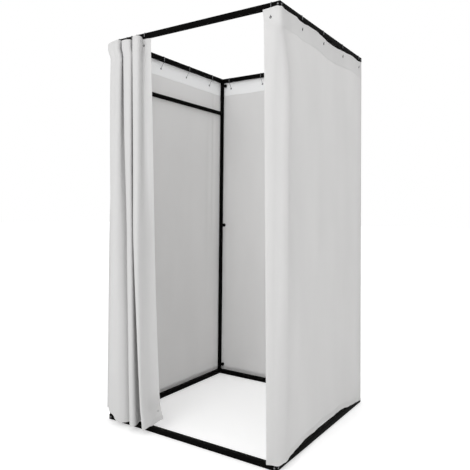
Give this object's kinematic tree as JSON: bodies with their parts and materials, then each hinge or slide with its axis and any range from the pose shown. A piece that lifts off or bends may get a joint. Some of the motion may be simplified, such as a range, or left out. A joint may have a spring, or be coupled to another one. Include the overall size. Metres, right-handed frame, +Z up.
{
  "type": "portable fitting room",
  "caption": "Free-standing cloth cabin on a black tube frame, with an inner garment rail and a door curtain that draws along the front top rail on wire hooks.",
  "frame": {"origin": "on the floor, under the middle of the whole object's bounding box", "axes": "+X to the right along the front, +Y to the back, +Z up; the doorway faces -Y"},
  "size_m": [1.0147, 1.0651, 2.0028],
  "materials": {
    "frame_black": "black powder coat, satin",
    "connector_black": "black moulded, satin",
    "knob_black": "black moulded, matt",
    "hook_wire": "bright plated wire",
    "cloth": "light grey woven polyester, matt"
  },
  "bodies": {
    "frame": {"bottom_rail_front": "frame_black", "bottom_rail_right": "frame_black", "bottom_rail_back": "frame_black", "bottom_rail_left": "frame_black", "top_rail_front": "frame_black", "top_rail_right": "frame_black", "top_rail_back": "frame_black", "top_rail_left": "frame_black", "bottom_corner_front_left": "connector_black", "bottom_corner_front_right": "connector_black", "bottom_corner_back_right": "connector_black", "bottom_corner_back_left": "connector_black", "top_corner_front_left": "connector_black", "top_corner_front_right": "connector_black", "top_corner_back_right": "connector_black", "top_corner_back_left": "connector_black", "upright_lower_front_left": "frame_black", "upright_upper_front_left": "frame_black", "upright_lower_front_right": "frame_black", "upright_upper_front_right": "frame_black", "upright_lower_back_right": "frame_black", "upright_upper_back_right": "frame_black", "upright_lower_back_left": "frame_black", "upright_upper_back_left": "frame_black", "garment_bracket_front": "frame_black", "garment_bracket_back": "frame_black", "garment_rail": "frame_black", "hook_front_return": "hook_wire", "hook_right_1": "hook_wire", "hook_right_2": "hook_wire", "hook_right_3": "hook_wire", "hook_right_4": "hook_wire", "hook_back_1": "hook_wire", "hook_back_2": "hook_wire", "hook_back_3": "hook_wire", "hook_back_4": "hook_wire", "hook_left_1": "hook_wire", "hook_left_2": "hook_wire", "hook_left_3": "hook_wire", "hook_left_4": "hook_wire", "hook_door_1": "hook_wire", "enclosure_cloth": "cloth"},
    "knob_low_front_left": {"knob_low_front_left": "knob_black"},
    "knob_middle_front_left": {"knob_middle_front_left": "knob_black"},
    "knob_high_front_left": {"knob_high_front_left": "knob_black"},
    "knob_low_front_right": {"knob_low_front_right": "knob_black"},
    "knob_middle_front_right": {"knob_middle_front_right": "knob_black"},
    "knob_high_front_right": {"knob_high_front_right": "knob_black"},
    "knob_low_back_right": {"knob_low_back_right": "knob_black"},
    "knob_middle_back_right": {"knob_middle_back_right": "knob_black"},
    "knob_high_back_right": {"knob_high_back_right": "knob_black"},
    "knob_low_back_left": {"knob_low_back_left": "knob_black"},
    "knob_middle_back_left": {"knob_middle_back_left": "knob_black"},
    "knob_high_back_left": {"knob_high_back_left": "knob_black"},
    "hook_door_2": {"hook_door_2": "hook_wire"},
    "hook_door_3": {"hook_door_3": "hook_wire"},
    "hook_door_4": {"hook_door_4": "hook_wire"},
    "door_lead": {"hook_door_5": "hook_wire", "door_curtain": "cloth"}
  },
  "joints": [
    {"name": "knob_low_front_left_turn", "type": "hinge", "parent": "frame", "child": "knob_low_front_left", "pos_m": [-0.4875, -0.4625, 0.06], "axis": [0, 1, 0], "range_deg": [0, 450]},
    {"name": "knob_middle_front_left_turn", "type": "hinge", "parent": "frame", "child": "knob_middle_front_left", "pos_m": [-0.4875, -0.4625, 1], "axis": [0, 1, 0], "range_deg": [0, 450]},
    {"name": "knob_high_front_left_turn", "type": "hinge", "parent": "frame", "child": "knob_high_front_left", "pos_m": [-0.4875, -0.4625, 1.954], "axis": [0, 1, 0], "range_deg": [0, 450]},
    {"name": "knob_low_front_right_turn", "type": "hinge", "parent": "frame", "child": "knob_low_front_right", "pos_m": [0.4875, -0.4625, 0.06], "axis": [0, 1, 0], "range_deg": [0, 450]},
    {"name": "knob_middle_front_right_turn", "type": "hinge", "parent": "frame", "child": "knob_middle_front_right", "pos_m": [0.4875, -0.4625, 1], "axis": [0, 1, 0], "range_deg": [0, 450]},
    {"name": "knob_high_front_right_turn", "type": "hinge", "parent": "frame", "child": "knob_high_front_right", "pos_m": [0.4875, -0.4625, 1.954], "axis": [0, 1, 0], "range_deg": [0, 450]},
    {"name": "knob_low_back_right_turn", "type": "hinge", "parent": "frame", "child": "knob_low_back_right", "pos_m": [0.4875, 0.5125, 0.06], "axis": [-1, 0, 0], "range_deg": [0, 450]},
    {"name": "knob_middle_back_right_turn", "type": "hinge", "parent": "frame", "child": "knob_middle_back_right", "pos_m": [0.4875, 0.5125, 1], "axis": [-1, 0, 0], "range_deg": [0, 450]},
    {"name": "knob_high_back_right_turn", "type": "hinge", "parent": "frame", "child": "knob_high_back_right", "pos_m": [0.4875, 0.5125, 1.954], "axis": [-1, 0, 0], "range_deg": [0, 450]},
    {"name": "knob_low_back_left_turn", "type": "hinge", "parent": "frame", "child": "knob_low_back_left", "pos_m": [-0.4875, 0.5125, 0.06], "axis": [1, 0, 0], "range_deg": [0, 450]},
    {"name": "knob_middle_back_left_turn", "type": "hinge", "parent": "frame", "child": "knob_middle_back_left", "pos_m": [-0.4875, 0.5125, 1], "axis": [1, 0, 0], "range_deg": [0, 450]},
    {"name": "knob_high_back_left_turn", "type": "hinge", "parent": "frame", "child": "knob_high_back_left", "pos_m": [-0.4875, 0.5125, 1.954], "axis": [1, 0, 0], "range_deg": [0, 450]},
    {"name": "door_draw", "type": "slide", "parent": "frame", "child": "door_lead", "axis": [1, 0, 0], "range_m": [0, 0.645], "deforming": ["door_curtain"]},
    {"name": "hook_door_2_slide", "type": "slide", "parent": "frame", "child": "hook_door_2", "axis": [1, 0, 0], "range_m": [0, 0.149]},
    {"name": "hook_door_3_slide", "type": "slide", "parent": "frame", "child": "hook_door_3", "axis": [1, 0, 0], "range_m": [0, 0.324]},
    {"name": "hook_door_4_slide", "type": "slide", "parent": "frame", "child": "hook_door_4", "axis": [1, 0, 0], "range_m": [0, 0.498]}
  ],
  "couplings": [
    {"joint": "hook_door_2_slide", "follows": "door_draw", "ratio": 0.22872},
    {"joint": "hook_door_3_slide", "follows": "door_draw", "ratio": 0.5},
    {"joint": "hook_door_4_slide", "follows": "door_draw", "ratio": 0.77128}
  ]
}
